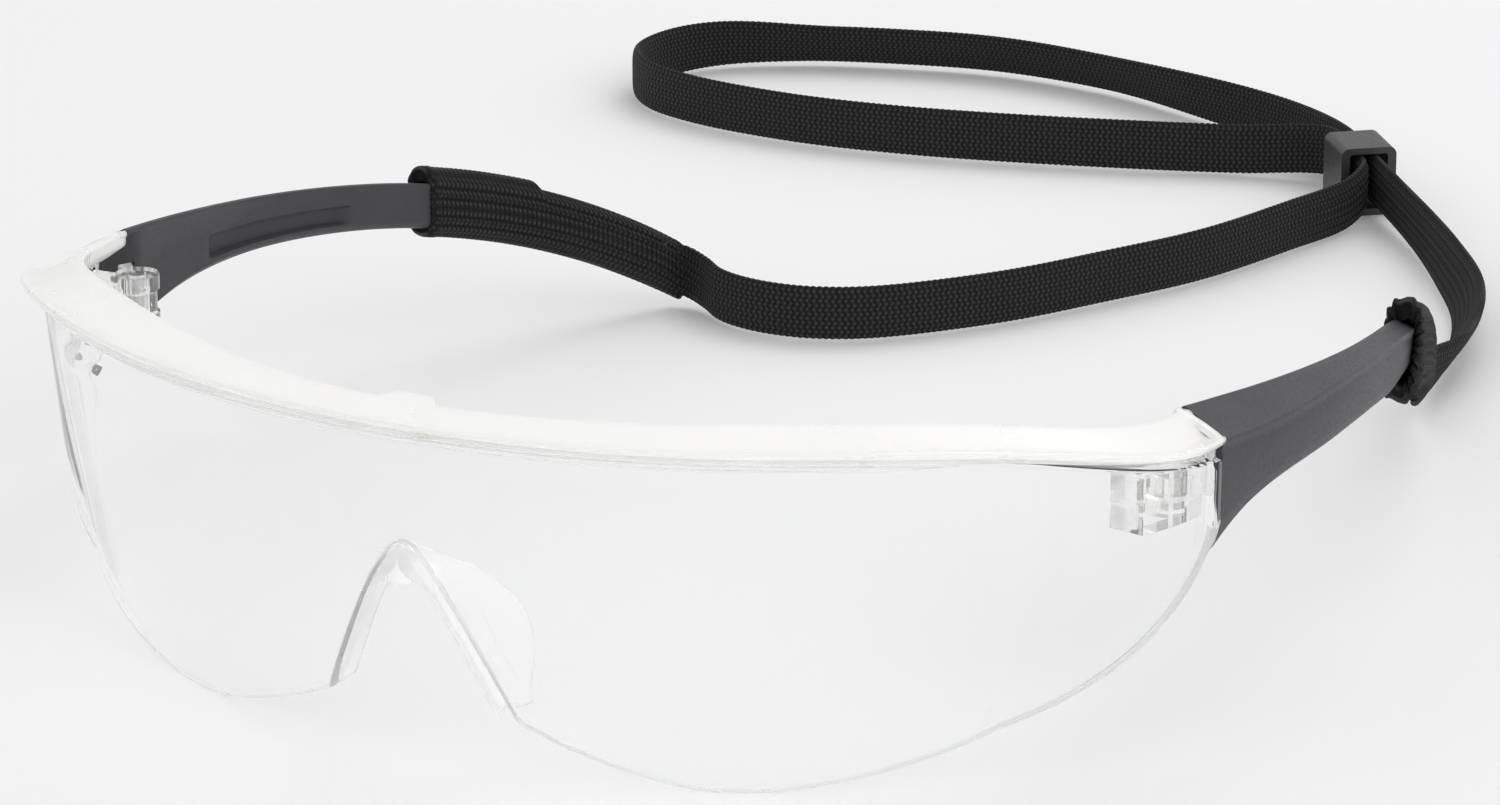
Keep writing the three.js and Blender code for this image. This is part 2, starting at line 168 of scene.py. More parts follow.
def addBevel(piece, width, segments=3, angle=30):
    bevel = piece.modifiers.new("softEdges", "BEVEL")
    bevel.width = width * mm
    bevel.segments = segments
    bevel.limit_method = "ANGLE"
    bevel.angle_limit = math.radians(angle)
    bevel.harden_normals = True


def applyModifiers(piece):
    graph = bpy.context.evaluated_depsgraph_get()
    done = bpy.data.meshes.new_from_object(piece.evaluated_get(graph))
    piece.modifiers.clear()
    piece.data = done


cameraPlace = {"at": (336.9, -630.8, 264.0), "towards": (7.4, -11.4, 23.8), "lens": 156.0, "sensor": 36.0}


# Turns a camera or a lamp at one place towards another.
def aim(thing, at, towards):
    thing.location = at
    thing.rotation_mode = "QUATERNION"
    thing.rotation_quaternion = (Vector(towards) - Vector(at)).to_track_quat("-Z", "Y")


def makeCamera():
    camera = bpy.data.objects.new("camera", bpy.data.cameras.new("camera"))
    camera.data.lens = cameraPlace["lens"]
    camera.data.sensor_width = cameraPlace["sensor"]
    camera.data.clip_start = 0.01
    camera.data.clip_end = 20
    aim(camera, Vector(cameraPlace["at"]) * mm, Vector(cameraPlace["towards"]) * mm)
    bpy.context.scene.collection.objects.link(camera)
    bpy.context.scene.camera = camera


makeCamera()
print("camera placed")


# The strap is three lengths of one flat elastic braid.
# Places along it are in millimetres, with y counted backwards from the front of the brow.
browLow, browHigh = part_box("brow_guard")
browFront = browLow.y / mm

strapSizes = {
    "width": 7.2, "thick": 1.5, "step": 0.28, "across": 30, "stitch": 0.85, "scallop": 0.15,
    "ribs": 7, "ribDepth": 0.34, "floorGap": 0.3,
}
sliderPlace = {"x": 9.5, "y": 244.2, "turn": 129.7, "height": 9.6, "spacing": 2.4}
onFloor = strapSizes["width"] / 2 + strapSizes["floorGap"]


# A place inside the slider, along its own length, for the strand on its left (-1) or right (1).
def inSlider(strand, along):
    turn = math.radians(sliderPlace["turn"])
    across = strand * sliderPlace["spacing"] / 2
    x = sliderPlace["x"] + across * math.sin(turn) + along * math.cos(turn)
    y = sliderPlace["y"] - across * math.cos(turn) + along * math.sin(turn)
    return (x, y, sliderPlace["height"] / 2)


def floorPoint(x, y):
    return (x, y, onFloor)


leftRoute = [
    (-53.3, 157.8, 7.0), (-52.4, 160.4, 5.6), (-50.6, 161.9, onFloor + 0.8), (-47.4, 160.7, onFloor + 0.2),
    floorPoint(-43.8, 157.9), floorPoint(-39.3, 156.2), floorPoint(-33.6, 155.9), floorPoint(-28.4, 157.2),
    floorPoint(-22.4, 160.9), floorPoint(-11.1, 174), floorPoint(-3.2, 187.7), floorPoint(4.4, 202.8),
    floorPoint(9.6, 220.5), floorPoint(12.4, 233), inSlider(-1, -5.7), inSlider(-1, -0.15),
]
rightRoute = [
    (53.3, 157.8, 8.2), (51.7, 161.8, 6.3), (50.6, 166, 5.0), (50.1, 172, onFloor + 0.4),
    floorPoint(49.2, 180), floorPoint(46.8, 191), floorPoint(42.3, 202.4), floorPoint(34.6, 214.5),
    floorPoint(25.2, 227.6), inSlider(1, -5.7), inSlider(1, -0.15),
]
loopRoute = [
    inSlider(-1, 0.15), inSlider(-1, 11.2), floorPoint(-11, 249.8), floorPoint(-23.5, 245.2),
    floorPoint(-43.6, 239), floorPoint(-57.7, 235.8), floorPoint(-73, 234.2), floorPoint(-89.8, 235.8),
    floorPoint(-99.6, 239.8), floorPoint(-104.8, 246.4), floorPoint(-104.8, 255.5), floorPoint(-100.6, 263),
    floorPoint(-90.4, 269.4), floorPoint(-76.7, 274.6), floorPoint(-62, 277.8), floorPoint(-45, 276.6),
    floorPoint(-28, 271.4), floorPoint(-9, 264), inSlider(1, 11.2), inSlider(1, 0.15),
]


# How each length lies, with its spans as shares of its length: the degrees that it leans over and where,
# and how far it is stretched at its start, along its middle and at its end, which opens its ribs.
strapLie = {
    "left": {"lean": 0, "leanUp": (0.0, 1.0), "leanDown": (0.0, 1.0), "stretch": (0.9, 0.0, 1.0),
             "stretchStart": (0.0, 0.12), "stretchEnd": (0.78, 0.95)},
    "right": {"lean": 34, "leanUp": (0.06, 0.25), "leanDown": (0.35, 0.92), "stretch": (1.0, 1.0, 1.0),
              "stretchStart": (0.0, 1.0), "stretchEnd": (0.0, 1.0)},
    "loop": {"lean": 30, "leanUp": (0.5, 0.6), "leanDown": (0.75, 0.9), "stretch": (0.35, 0.0, 0.3),
             "stretchStart": (0.0, 0.08), "stretchEnd": (0.9, 1.0)},
}


def leanAt(lie, share):
    return lie["lean"] * between(lie["leanUp"], lie["leanDown"], share)


def stretchAt(lie, share):
    start, middle, end = lie["stretch"]
    started = lerp(start, middle, smooth(*lie["stretchStart"], share))
    return lerp(started, end, smooth(*lie["stretchEnd"], share))


# How deep the valleys between ribs are at a place across the braid, from -1 to 1.
def ribValley(ribs, across):
    return ((1 + math.cos(math.pi * ribs * across)) / 2) ** 2


# The braid's section: its two faces meet in rounded edges, ribbed where it is stretched.
def braidSection(along, stretch):
    sizes = strapSizes
    edge = sizes["scallop"] * abs(math.sin(math.pi * along / sizes["stitch"]))
    front, back = [], []
    for j in range(sizes["across"] + 1):
        v = 2 * j / sizes["across"] - 1
        v = lerp(v, math.sin(math.pi * v / 2), 0.6)  # closer together near the edges
        thick = sizes["thick"] / 2 * (1 - abs(v) ** 5) ** 0.5
        rib = 1 - stretch * sizes["ribDepth"] * ribValley(sizes["ribs"], v)
        out = v * (sizes["width"] / 2 - sizes["scallop"]) + math.copysign(edge * abs(v) ** 6, v)
        front.append((thick * rib, out))
        back.append((-thick * rib, out))
    return front + back[-2:0:-1]


def strapPiece(name, route, node, lie):
    line, ways, places = smoothLine(route, strapSizes["step"])
    rings, uvRings, ribbed = [], [], []
    for at, way, along in zip(line, ways, places):
        share = along / places[-1]
        side = np.array([way[1], -way[0], 0.0])
        side /= np.linalg.norm(side)
        tip = math.radians(leanAt(lie, share))
        up = np.array([0, 0, math.cos(tip)]) + side * math.sin(tip)
        out = side * math.cos(tip) - np.array([0, 0, math.sin(tip)])
        stretch = stretchAt(lie, share)
        section = braidSection(along, stretch)
        # a leaning strap still stands on its lower edge
        sink = strapSizes["width"] / 2 * (1 - math.cos(tip)) - strapSizes["thick"] / 2 * math.sin(tip)
        middle = at + np.array([0, browFront, -sink])
        rings.append([(middle + out * a + up * b) * mm for a, b in section])
        uvRings.append([(along * mm, b * mm) for a, b in section])
        ribbed.append(stretch)
    piece = skin(name, rings, uvRings)
    markRibs(piece, ribbed, len(rings[0]))
    shift = np.array([0, browFront * mm, 0])
    path = [(at * mm + shift).tolist() for at in [*line[::8], line[-1]]]
    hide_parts(node)
    return piece, path


def makeStrap():
    left, leftPath = strapPiece("strapLeft", leftRoute, "strap_left", strapLie["left"])
    right, rightPath = strapPiece("strapRight", rightRoute, "strap_right", strapLie["right"])
    loop = strapPiece("strapLoop", loopRoute, "strap_loop", strapLie["loop"])[0]
    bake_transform(left)
    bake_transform(right)
    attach(loop, "front")
    return [left, right, loop]


strapPieces = makeStrap()
print("strap laid")


# The wrap is the curve that every clear piece follows, by an angle that runs from -90 to 90 degrees.
wrap = {
    "halfWidth": browHigh.x / mm, "depth": (browHigh.y - browLow.y) / mm, "height": 41.9,
    "droop": 7.0, "droopPower": 9,
}


# The height of the brow: level over the front, falling at both ends.
def browLine(angle):
    return wrap["height"] - wrap["droop"] * abs(math.sin(angle)) ** wrap["droopPower"]


def onWrap(angle, inset, height):
    x = (wrap["halfWidth"] - inset) * math.sin(angle)
    y = wrap["depth"] - (wrap["depth"] - inset) * math.cos(angle)
    return (x * mm, (y + browFront) * mm, height * mm)


# The lip is a range of places round the section, counted from its front top corner.
browSizes = {
    "ledge": 6.7, "ledgeEnd": 5.6, "swell": 2.6, "thick": 1.6, "rise": 0.2, "endRise": 1.2,
    "cornerRise": 1.1, "cornerFrom": 48, "cornerTo": 92, "band": 2.8, "bandEnd": 1.75, "fade": (44, 60),
    "setback": 1.8, "bandDepth": 2.4, "tabDepth": 2.4, "tabSide": (3.2, 3.9), "round": 0.45,
    "steps": 180, "corners": 11, "lip": (4, 23),
}


# How far the ledge reaches inwards: deepest half way round, with the tab at the middle.
def ledgeReach(angle):
    sizes = browSizes
    reach = lerp(sizes["ledge"], sizes["ledgeEnd"], math.sin(angle) ** 4)
    reach += sizes["swell"] * math.sin(2 * angle) ** 2
    fromMiddle = abs(wrap["halfWidth"] * math.sin(angle))
    return reach + sizes["tabDepth"] * (1 - smooth(*sizes["tabSide"], fromMiddle))


# Front lip, band, underside, rear edge, and the top with a shallow hollow behind the lip.
def browSection(angle):
    sizes = browSizes
    turned = abs(math.degrees(angle))
    band = lerp(sizes["band"], sizes["bandEnd"], smooth(*sizes["fade"], turned))
    reach = ledgeReach(angle)
    rise = lerp(sizes["rise"], sizes["endRise"], math.sin(angle) ** 4)
    rise += sizes["cornerRise"] * smooth(sizes["cornerFrom"], sizes["cornerTo"], turned)
    low = rise - sizes["thick"]
    return roundCorners([
        (0.1, 0.05), (0.0, -0.75), (0.85, -1.35), (sizes["setback"], -band), (sizes["bandDepth"], -band),
        (sizes["bandDepth"] + 0.1, -sizes["thick"]), (reach, low), (reach, rise), (reach - 1.3, rise + 0.02),
        (2.4, -0.22), (0.9, -0.2),
    ], sizes["round"])


def makeBrowGuard():
    rings = []
    for i in range(browSizes["steps"] + 1):
        angle = math.radians(lerp(-90, 90, i / browSizes["steps"]))
        top = browLine(angle)
        rings.append([onWrap(angle, inset, top + drop) for inset, drop in browSection(angle)])
    piece = skin("browGuard", rings)
    evenNormals(piece)
    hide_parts("brow_guard")
    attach(piece, "front")
    return piece


browGuard = makeBrowGuard()
print("brow guard made")


lensSizes = {
    "thick": 2.0, "rake": 0.118, "bow": 0.0013, "flush": 2.1, "end": 88.5, "inset": 2.7, "under": 2.05,
    "lobe": 32, "spread": 57.5, "spreadInner": 40, "lobeDrop": 30, "power": 1.5, "flat": 0.25,
    "notch": 26.4, "notchRadius": 6.0, "notchSlope": 2.1, "endLip": 0.35, "endLipFrom": (86.9, 87.3),
    "columns": 300, "rows": 76, "edgeFaces": 5,
}

# Over each optic zone the lens is a little thinner at the back. Its inner and outer sides are in degrees.
zone = {
    "inner": 4.6, "innerLean": 0.06, "outer": 74.0, "outerLean": 0.42, "top": 3.0, "topFade": 0.3,
    "corner": 7.0, "notch": 2.0, "step": 0.15, "edge": 1.2,
}


def lensTop(angle):
    return browLine(angle) - lensSizes["under"]


# The lens leans in below the brow, and comes flush with the guard at its ends.
def lensInset(angle, height):
    drop = lensTop(angle) - height
    flush = min(1.0, lensSizes["flush"] * math.cos(angle))
    return flush * (lensSizes["inset"] + lensSizes["rake"] * drop + lensSizes["bow"] * drop * drop)


# The nose notch is a rounded peak: its height and slope at an angle.
def notchHeight(angle):
    x = (wrap["halfWidth"] - lensInset(angle, lensSizes["notch"] / 2)) * math.sin(angle)
    root = math.hypot(lensSizes["notchRadius"], lensSizes["notchSlope"] * x)
    slope = -lensSizes["notchSlope"] ** 2 * x / root
    return lensSizes["notch"] + lensSizes["notchRadius"] - root, slope


def lensBottom(angle):
    past = abs(math.degrees(angle)) - lensSizes["lobe"]
    turn = past / (lensSizes["spread"] if past > 0 else lensSizes["spreadInner"])
    curve = 1 - math.sqrt(1 - min(1.0, abs(turn) ** lensSizes["power"]))
    return max(0.0, lensSizes["lobeDrop"] * curve - lensSizes["flat"], notchHeight(angle)[0])


def onLens(angle, height, depth):
    return onWrap(angle, lensInset(angle, height) + depth, height)


# Distance inside the line round an optic zone, whose sides lean with the lens.
def zoneDistance(angle, height):
    width = wrap["halfWidth"] - 6  # about the lens's own radius
    drop = lensTop(angle) - height
    toInner = (abs(angle) - math.radians(zone["inner"])) * width * 0.9 - drop * zone["innerLean"]
    toOuter = (math.radians(zone["outer"]) - abs(angle)) * width * 0.85 - drop * zone["outerLean"]
    toTop = (drop - zone["top"]) * zone["topFade"]
    nose, slope = notchHeight(angle)
    toNose = (height - nose) / math.hypot(1, slope) - zone["notch"]
    side = min(toInner, toOuter, toNose)
    corner = zone["corner"]
    if side < corner and toTop < corner:
        return corner - math.hypot(corner - side, corner - toTop)
    return min(side, toTop)


# Down the outer face, round the lower edge, up the inner face, and over the top.
def lensColumn(angle):
    sizes = lensSizes
    bottom, top, thick = lensBottom(angle), lensTop(angle), sizes["thick"]
    lip = sizes["endLip"] * smooth(*sizes["endLipFrom"], abs(math.degrees(angle)))
    outer, inner = [], []
    for j in range(sizes["rows"] + 1):
        height = lerp(top - 0.35, bottom + 0.55, j / sizes["rows"])
        thin = zone["step"] * smooth(0, zone["edge"], zoneDistance(angle, height))
        outer.append(onLens(angle, height, -lip))
        inner.append(onLens(angle, height, thick - thin))
    # both edges are rounded over less than a millimetre
    edge = [
        onLens(angle, bottom + 0.2, 0.16), onLens(angle, bottom, 0.55),
        onLens(angle, bottom, thick - 0.55), onLens(angle, bottom + 0.2, thick - 0.16),
    ]
    roof = [
        onLens(angle, top - 0.08, thick - 0.14), onLens(angle, top, thick - 0.45),
        onLens(angle, top, 0.45), onLens(angle, top - 0.08, 0.14),
    ]
    return outer + edge + inner[::-1] + roof


def makeLens():
    rings = []
    for i in range(lensSizes["columns"] + 1):
        across = lerp(-1, 1, i / lensSizes["columns"])
        angle = math.radians(lensSizes["end"]) * lerp(across ** 3, across, 0.75)
        rings.append(lensColumn(angle))
    piece = skin("lensShell", rings)
    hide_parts("lens")
    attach(piece, "front")
    return piece


lensShell = makeLens()
print("lens made")


# The end rims are the bright moulded edges that the temples close against.
# Each place on the outline is a distance in from the brow's end, and a height over it.
rimSizes = {
    "deep": 1.2, "wide": 0.75, "sides": 12, "step": 0.3,
    "outline": [
        (5.6, 2.55), (3.6, 1.75), (1.7, 0.8), (0.4, 0.0), (0.05, -0.45), (0.6, -1.0), (1.1, -1.6),
        (1.05, -3.2), (0.85, -5.2), (0.95, -8.0), (1.35, -10.6), (1.9, -12.6),
    ],
}


def makeRim(word, side):
    sizes = rimSizes
    outline = [(inset, height, 0) for inset, height in sizes["outline"]]
    line, ways, places = smoothLine(outline, sizes["step"])
    rings = []
    for at, way in zip(line, ways):
        inwards = np.array([-way[1], way[0]])  # towards the inside of the spectacles
        ring = []
        for k in range(sizes["sides"]):
            turn = 2 * math.pi * k / sizes["sides"]
            a = sizes["wide"] / 2 * (signedPower(math.cos(turn), 0.5) + 1)
            b = sizes["deep"] / 2 * (signedPower(math.sin(turn), 0.5) - 1)
            x = wrap["halfWidth"] - (at[0] + inwards[0] * a)
            y = wrap["depth"] + b
            height = browLine(math.pi / 2) + at[1] + inwards[1] * a
            ring.append((side * x * mm, (y + browFront) * mm, height * mm))
        rings.append(ring)
    piece = skin("endRim" + word, rings)
    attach(piece, "front")
    return piece


endRims = [makeRim("Left", -1), makeRim("Right", 1)]
print("end rims made")


# The nose saddle runs round the notch, from one pad's tip to the other's.
noseSizes = {
    "top": 5.2, "leg": 1.0, "tip": 1.5, "angle": 9.7, "depth": 4.8, "padDepth": 11.0, "swing": 2.85,
    "flare": 0.55, "flareFrom": 0.3, "standOut": 0.5, "gap": 0.12, "hollow": 0.12, "tipFrom": 0.86,
    "tipLeast": 0.12, "columns": 96, "sides": 40,
}


def noseColumn(along):
    sizes = noseSizes
    out = abs(along)
    height, slope = notchHeight(math.radians(along * sizes["angle"]))
    edge = onLens(math.radians(along * sizes["angle"]), height, lensSizes["thick"])
    steep = math.hypot(1, slope)
    thick = lerp(sizes["top"], lerp(sizes["leg"], sizes["tip"], out), smooth(0.0, 0.42, out))
    deep = lerp(sizes["depth"], sizes["padDepth"], math.sin(out * sizes["swing"]) ** 2)
    past = max(0.0, (out - sizes["tipFrom"]) / (1 - sizes["tipFrom"]))
    tipRound = max(sizes["tipLeast"], math.sqrt(max(0.0, 1 - past ** 2)))
    ring = []
    for k in range(sizes["sides"]):
        turn = 2 * math.pi * k / sizes["sides"]
        across = signedPower(math.cos(turn), 0.55)
        back = signedPower(math.sin(turn), 0.6)
        depth = deep / 2 * (1 + back)
        hollow = sizes["hollow"] * thick * (1 - back * back) if across > 0.5 else 0  # a dished inner face
        inward = sizes["gap"] + thick / 2 + (thick / 2 * across - hollow) * tipRound
        behind = max(0.0, depth - sizes["standOut"] - lensSizes["thick"] - sizes["flareFrom"])
        x = edge[0] / mm + inward * slope / steep + math.copysign(sizes["flare"] * behind * out, along)
        y = edge[1] / mm - lensSizes["thick"] - sizes["standOut"] + depth
        z = edge[2] / mm - inward / steep
        ring.append((x * mm, y * mm, z * mm))
    return ring


def makeNoseBridge():
    columns = noseSizes["columns"]
    piece = skin("noseSaddle", [noseColumn(lerp(-1, 1, i / columns)) for i in range(columns + 1)])
    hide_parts("nose_bridge")
    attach(piece, "front")
    return piece


noseSaddle = makeNoseBridge()
print("nose bridge made")


templeSizes = {
    "length": 107.0, "end": 0.96, "steps": 130, "thick": 4.4, "tipThick": 2.8, "root": 15.0, "arm": 5.9,
    "fade": 0.13, "setIn": 2.4, "spread": 11.8, "hook": 30.9, "rise": 1.8, "droop": 14.5, "endDroop": 15.2,
    "lean": 1.2, "gap": 0.3, "ridge": 2.3, "ridgeEnd": 0.9, "lift": 0.7, "topIn": 3.1, "groove": 0.18,
    "pare": 2.4, "pareBelow": 1.2, "panel": (0.2, 0.47), "panelEdge": 0.012, "panelRise": (0.2, 0.56),
    "panelDepth": 1.0,
}

# The right arm is sprung a little upwards, and is a little deeper along its middle.
# Spans are shares of its length.
rightArm = {
    "flex": 2.2, "flexOver": (0.1, 0.75), "deeper": 1.3, "deeperUp": (0.02, 0.3), "deeperDown": (0.5, 0.62),
}


def templeTop(share):
    sizes = templeSizes
    root = browLine(math.pi / 2) + sizes["rise"]
    return root - sizes["droop"] * share - sizes["endDroop"] * share ** 4


def templeTall(share, side=-1):
    sizes = templeSizes
    tall = sizes["arm"] + (sizes["root"] - sizes["arm"]) * math.exp(-share / sizes["fade"])
    if side > 0:
        tall += rightArm["deeper"] * between(rightArm["deeperUp"], rightArm["deeperDown"], share)
    return tall


def templeWall(share):
    return lerp(templeSizes["thick"], templeSizes["tipThick"], min(1.0, 2 * share))


def templeFlex(side, share):
    return rightArm["flex"] * smooth(*rightArm["flexOver"], share) if side > 0 else 0.0


# A place on a temple: share of its length, millimetres below its top edge, and outwards from its middle.
def onTemple(side, share, below, across):
    sizes = templeSizes
    x = wrap["halfWidth"] - sizes["setIn"] + sizes["spread"] * share - sizes["hook"] * share * share
    lean = sizes["lean"] * (below / templeTall(share)) * math.exp(-share / sizes["fade"])
    y = wrap["depth"] + sizes["gap"] + sizes["length"] * share - lean
    z = templeTop(share) - below + templeFlex(side, share)
    return (side * (x + across) * mm, (y + browFront) * mm, z * mm)


# Round the section from its top inner corner: sloping top, ridge, groove, outer face, then the inner face
# with its sunk panel.
def templeSection(share, side):
    sizes = templeSizes
    tall, wall = templeTall(share, side), templeWall(share)
    half = wall / 2
    ridge = lerp(sizes["ridge"], sizes["ridgeEnd"], smooth(0.0, 0.35, share))
    lift = sizes["lift"] * (1 - smooth(0.05, 0.5, share))
    topIn = lerp(sizes["topIn"], half + 0.1, smooth(0.05, 0.45, share))
    groove = half - 0.16 - sizes["groove"] * (1 - smooth(0.5, 0.68, share))
    (start, end), edge = sizes["panel"], sizes["panelEdge"]
    sunk = sizes["panelDepth"] * between((start, start + edge), (end - edge, end), share) - half
    low, high = sizes["panelRise"]
    panelTop, panelLow = tall * (1 - high), tall * (1 - low)
    return [
        (0.1 - lift, -topIn), (0.0 - lift, -topIn + 0.4),
        (ridge * 0.3 - lift * 0.7, lerp(-topIn, half, 0.36)), (ridge * 0.78, lerp(-topIn, half, 0.84)),
        (ridge - 0.2, half - 0.05), (ridge + 0.15, half),
        (ridge + 0.6, half - 0.12), (ridge + 1.0, groove + 0.02), (ridge + 1.4, groove),
        (ridge + 1.75, half - 0.16), (lerp(ridge, tall, 0.72), half - 0.07 * wall),
        (tall - 0.8, 0.34 * wall), (tall - 0.2, 0.22 * wall), (tall, 0.05 * wall), (tall, -0.2 * wall),
        (tall - 0.25, -0.38 * wall),
        (tall - 0.8, -half), (panelLow + 0.12, -half), (panelLow - 0.15, sunk),
        (lerp(panelLow, panelTop, 0.5), sunk), (panelTop + 0.15, sunk), (panelTop - 0.12, -half),
        (1.5, -half), (0.7 - lift, -topIn + 0.02),
    ]


# At the root, the inner face is pared back below the top edge to clear the hinge block.
def templeRing(side, share):
    innermost = templeSizes["pare"] * (1 - smooth(0.0, 0.05, share)) - templeWall(share) / 2
    ring = []
    for below, across in templeSection(share, side):
        if below > templeSizes["pareBelow"]:
            across = max(across, innermost)
        ring.append(onTemple(side, share, below, across))
    return ring


# The slot in each temple's root that the hinge tongue's plate enters.
slotSizes = {"into": 4.2, "past": 0.3, "wide": 2.1, "tall": 5.0}


def hingeSlot(side):
    low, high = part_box("hinge_tongue_right")
    pin = next(j for j in frame["joints"] if j["name"] == "temple_right_hinge")["pos_m"]
    pinX, pinY = pin[0] / mm, pin[1] / mm
    endX = wrap["halfWidth"] - templeSizes["setIn"]
    endY = wrap["depth"] + browFront + slotSizes["into"]
    run = math.hypot(endX - pinX, endY - pinY) + slotSizes["past"]
    turn = math.atan2(endY - pinY, endX - pinX)
    mesh = bpy.data.meshes.new("slotCutter")
    work = bmesh.new()
    bmesh.ops.create_cube(work, size=1)
    for v in work.verts:
        a = (v.co.x + 0.5) * run
        b = v.co.y * slotSizes["wide"]
        x = pinX + a * math.cos(turn) - b * math.sin(turn)
        y = pinY + a * math.sin(turn) + b * math.cos(turn)
        z = (low.z + high.z) / 2 / mm + v.co.z * slotSizes["tall"]
        v.co = (side * x * mm, y * mm, z * mm)
    if side < 0:
        bmesh.ops.reverse_faces(work, faces=work.faces)
    work.to_mesh(mesh)
    work.free()
    cutter = bpy.data.objects.new("slotCutter", mesh)
    bpy.context.scene.collection.objects.link(cutter)
    return cutter


def makeTemple(word, side):
    steps = templeSizes["steps"]
    shares = [templeSizes["end"] * (i / steps) ** 1.15 for i in range(steps + 1)]
    piece = skin("templeArm" + word, [templeRing(side, share) for share in shares])
    cutter = hingeSlot(side)
    cut = piece.modifiers.new("hingeSlot", "BOOLEAN")
    cut.object = cutter
    cut.solver = "EXACT"
    applyModifiers(piece)
    bpy.data.objects.remove(cutter)
    piece.data.set_sharp_from_angle(angle=math.radians(38))
    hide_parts("temple_" + word.lower())
    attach(piece, "temple_" + word.lower() + "_arm")
    return piece


temples = [makeTemple("Left", -1), makeTemple("Right", 1)]
print("temples made")


# The sleeves are the strap's hemmed ends, pulled over the temples.
# Places along them, and the hem's depth and turn, are shares of a temple's length.
sleeveSizes = {
    "start": 0.607, "end": 0.985, "wall": 0.95, "gap": 0.12, "sides": 96, "step": 0.22, "slack": 1.06,
    "hemSwell": 0.12, "hemDepth": 0.006, "hemTurn": 0.008, "scallop": 0.1, "stepAt": 0.775,
    "stepRun": 0.012, "stepUp": 0.95, "flatFrom": 0.93, "endTall": 3.95,
}

# The right sleeve is pushed up into a gathered collar at its mouth, which leans back at the top.
collarSizes = {
    "length": 7.0, "tilt": 0.022, "bunch": 0.7, "fold": 0.3, "foldStep": 1.5, "hang": 1.5,
    "ruffle": 0.24, "ruffles": 19, "ruffleAlong": 0.006, "flatten": 0.55,
}


# Places round a sleeve, as across and up from -1 to 1, even along its rounded outline.
def aroundSleeve(k):
    turn = (4 * k / sleeveSizes["sides"]) % 4 - 1
    up = turn if turn <= 1 else 2 - turn
    up = lerp(up, math.sin(math.pi * up / 2), 0.6)
    return math.copysign(math.sqrt(max(0.0, 1 - abs(up) ** 5)), 1 - turn), up


# What the collar adds at a place round it: along, outwards and up.
def collarShift(k, across, up, along, inner):
    sizes = collarSizes
    fade = 1 - smooth(0.0, sizes["length"], along)
    fold = sizes["fold"] * math.sin(2 * math.pi * along / sizes["foldStep"]) * smooth(0.2, -0.5, up)
    ruffle = sizes["ruffle"] * fade * math.sin(2 * math.pi * sizes["ruffles"] * k / sleeveSizes["sides"])
    bunch = ruffle + (0.0 if inner else fade * (sizes["bunch"] + fold))
    hang = sizes["hang"] * fade * smooth(-0.2, -1.0, up)
    back = sizes["tilt"] * up * fade + ruffle * sizes["ruffleAlong"]
    return back, across * bunch * sizes["flatten"], up * bunch - hang


def sleeveRing(side, share, along, grow, inner=False):
    sizes = sleeveSizes
    tall = templeTall(min(share, templeSizes["end"]))
    wall = templeWall(min(share, templeSizes["end"]))
    flat = smooth(sizes["flatFrom"], 1.0, share)
    halfTall = lerp(tall / 2 + grow, sizes["endTall"], smooth(0.8, 1.0, share))
    halfWall = lerp(wall / 2 + grow * 0.7, strapSizes["thick"] / 2 + 0.15, flat)
    doubled = sizes["stepUp"] * (1 - smooth(sizes["stepAt"], sizes["stepAt"] + sizes["stepRun"], share))
    stitched = sizes["scallop"] * abs(math.sin(math.pi * along / strapSizes["stitch"]))
    ring, uv = [], []
    for k in range(sizes["sides"]):
        across, up = aroundSleeve(k)
        outwards, upwards = across * halfWall, up * halfTall
        if not inner:
            valley = strapSizes["ribDepth"] * ribValley(strapSizes["ribs"], up)
            outwards -= across * valley * (1 - abs(up) ** 3)
            upwards += up * stitched * abs(up) ** 4
            upwards += doubled * max(0.0, up) ** 3
        at = share
        if side > 0:
            shift = collarShift(k, across, up, along, inner)
            at, outwards, upwards = at + shift[0], outwards + shift[1], upwards + shift[2]
        x, y, z = onTemple(side, at, tall / 2 - upwards, outwards)
        ring.append((x, y, max(z, 0.05 * mm)))
        uv.append((along * mm, up * strapSizes["width"] / 2 * mm))
    return ring, uv


# Up the inside of the mouth, round its rolled hem, and down the outside to the end.
def sleeveRings(side):
    sizes = sleeveSizes
    inside = sizes["gap"]
    outside = sizes["gap"] + sizes["wall"]
    made = []
    for i in range(8, 0, -1):
        made.append(sleeveRing(side, sizes["start"] + sizes["hemDepth"] * i, -0.4 * i, inside, True))
    for i in range(1, 8):
        turn = math.pi * i / 8
        grow = lerp(inside, outside + sizes["hemSwell"], (1 - math.cos(turn)) / 2)
        share = sizes["start"] + sizes["hemDepth"] - sizes["hemTurn"] * math.sin(turn)
        made.append(sleeveRing(side, share, 0.2 * i, grow, i < 3))
    length = (sizes["end"] - sizes["start"]) * templeSizes["length"] * sizes["slack"]
    steps = int(length / sizes["step"])
    for i in range(steps + 1):
        share = lerp(sizes["start"] + sizes["hemTurn"], sizes["end"] + 0.004, i / steps)
        swell = sizes["hemSwell"] * (1 - smooth(0, 6, i))
        made.append(sleeveRing(side, share, i * sizes["step"], outside + swell))
    return made


def makeSleeve(word, side):
    rings, uvRings = zip(*sleeveRings(side))
    piece = skin("strapSleeve" + word, rings, uvRings)
    count = len(rings)
    relaxed = 0.75 if side < 0 else 0.0  # the left braid's ribs close behind the temple's tip
    ribbed = [1 - relaxed * smooth(0.55, 0.75, i / count) for i in range(count)]
    markRibs(piece, ribbed, sleeveSizes["sides"])
    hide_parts("strap_sleeve_" + word.lower())
    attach(piece, "temple_" + word.lower() + "_arm")
    return piece


sleeves = [makeSleeve("Left", -1), makeSleeve("Right", 1)]
print("sleeves made")


